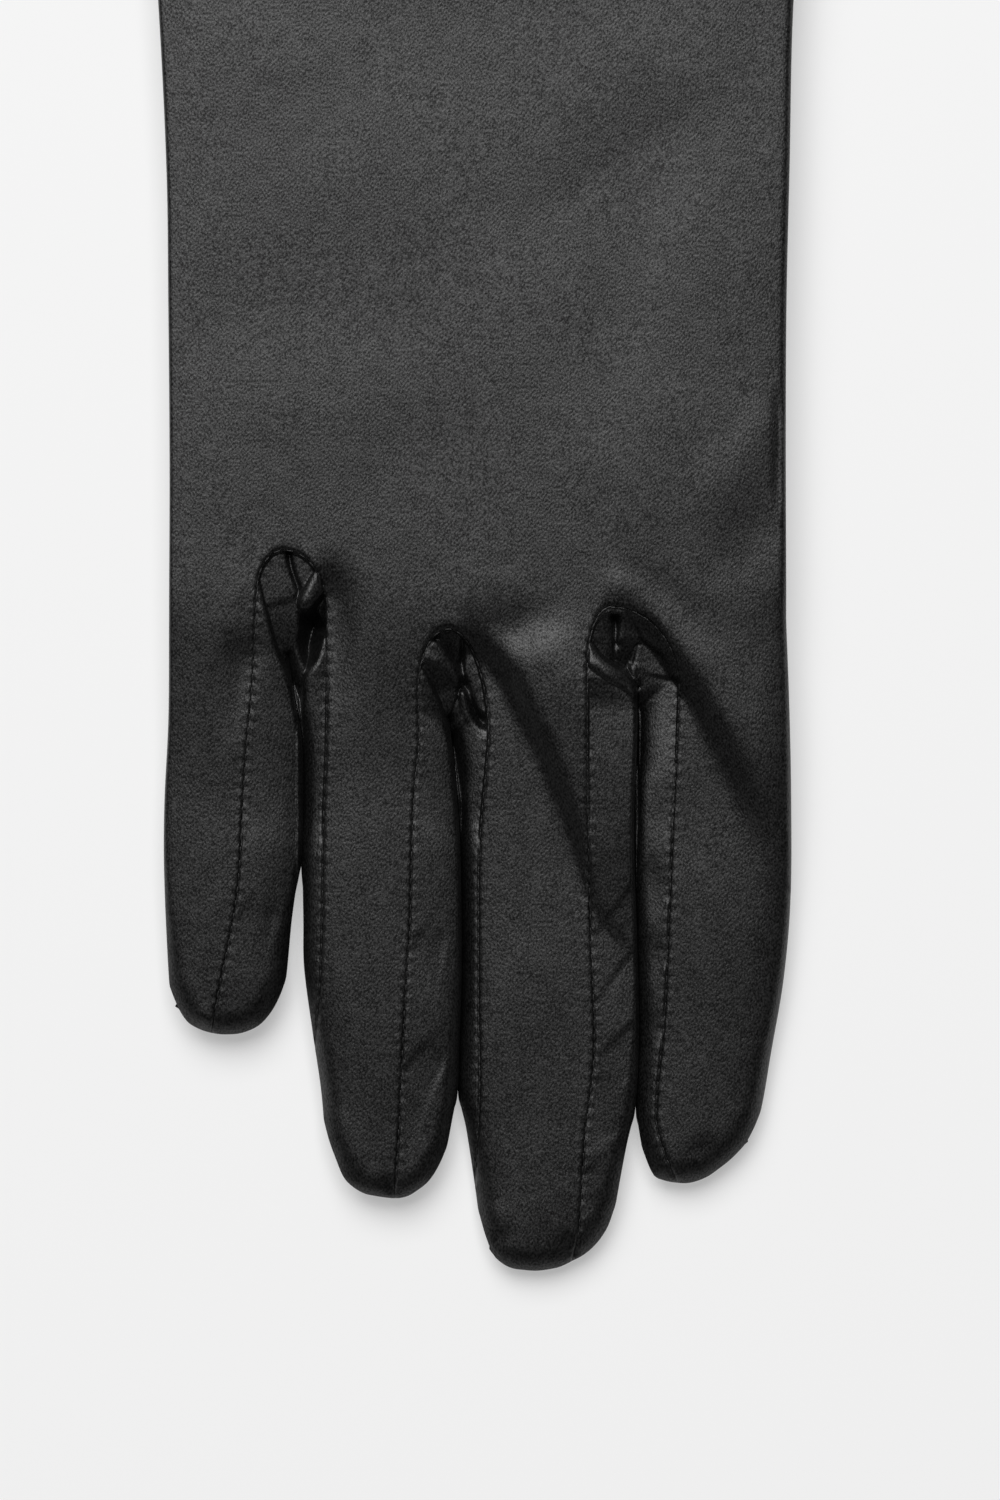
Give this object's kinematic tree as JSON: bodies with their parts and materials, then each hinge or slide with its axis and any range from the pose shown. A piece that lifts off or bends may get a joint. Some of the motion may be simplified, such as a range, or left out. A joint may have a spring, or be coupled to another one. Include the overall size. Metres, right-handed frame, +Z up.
{
  "type": "long satin glove",
  "caption": "Long right-hand satin glove laid flat with the back up: shaped fingers with side strips, thumb folded under the palm, open flared cuff.",
  "frame": {"origin": "centre of the glove's bounding box, on the surface it lies on", "axes": "+Z up, away from the surface; +Y along the glove towards the open cuff, so the fingers point to -Y; +X towards the index finger"},
  "size_m": [0.126, 0.5599, 0.017],
  "materials": {
    "back_panel": "black satin",
    "palm_panel": "black satin",
    "fourchette_little_ring": "black satin",
    "fourchette_ring_middle": "black satin",
    "fourchette_middle_index": "black satin",
    "thumb": "black satin",
    "cuff_hem": "black satin"
  },
  "bodies": {
    "root": {"back_panel": "back_panel", "palm_panel": "palm_panel", "fourchette_little_ring": "fourchette_little_ring", "fourchette_ring_middle": "fourchette_ring_middle", "fourchette_middle_index": "fourchette_middle_index", "thumb": "thumb", "cuff_hem": "cuff_hem"}
  },
  "joints": []
}
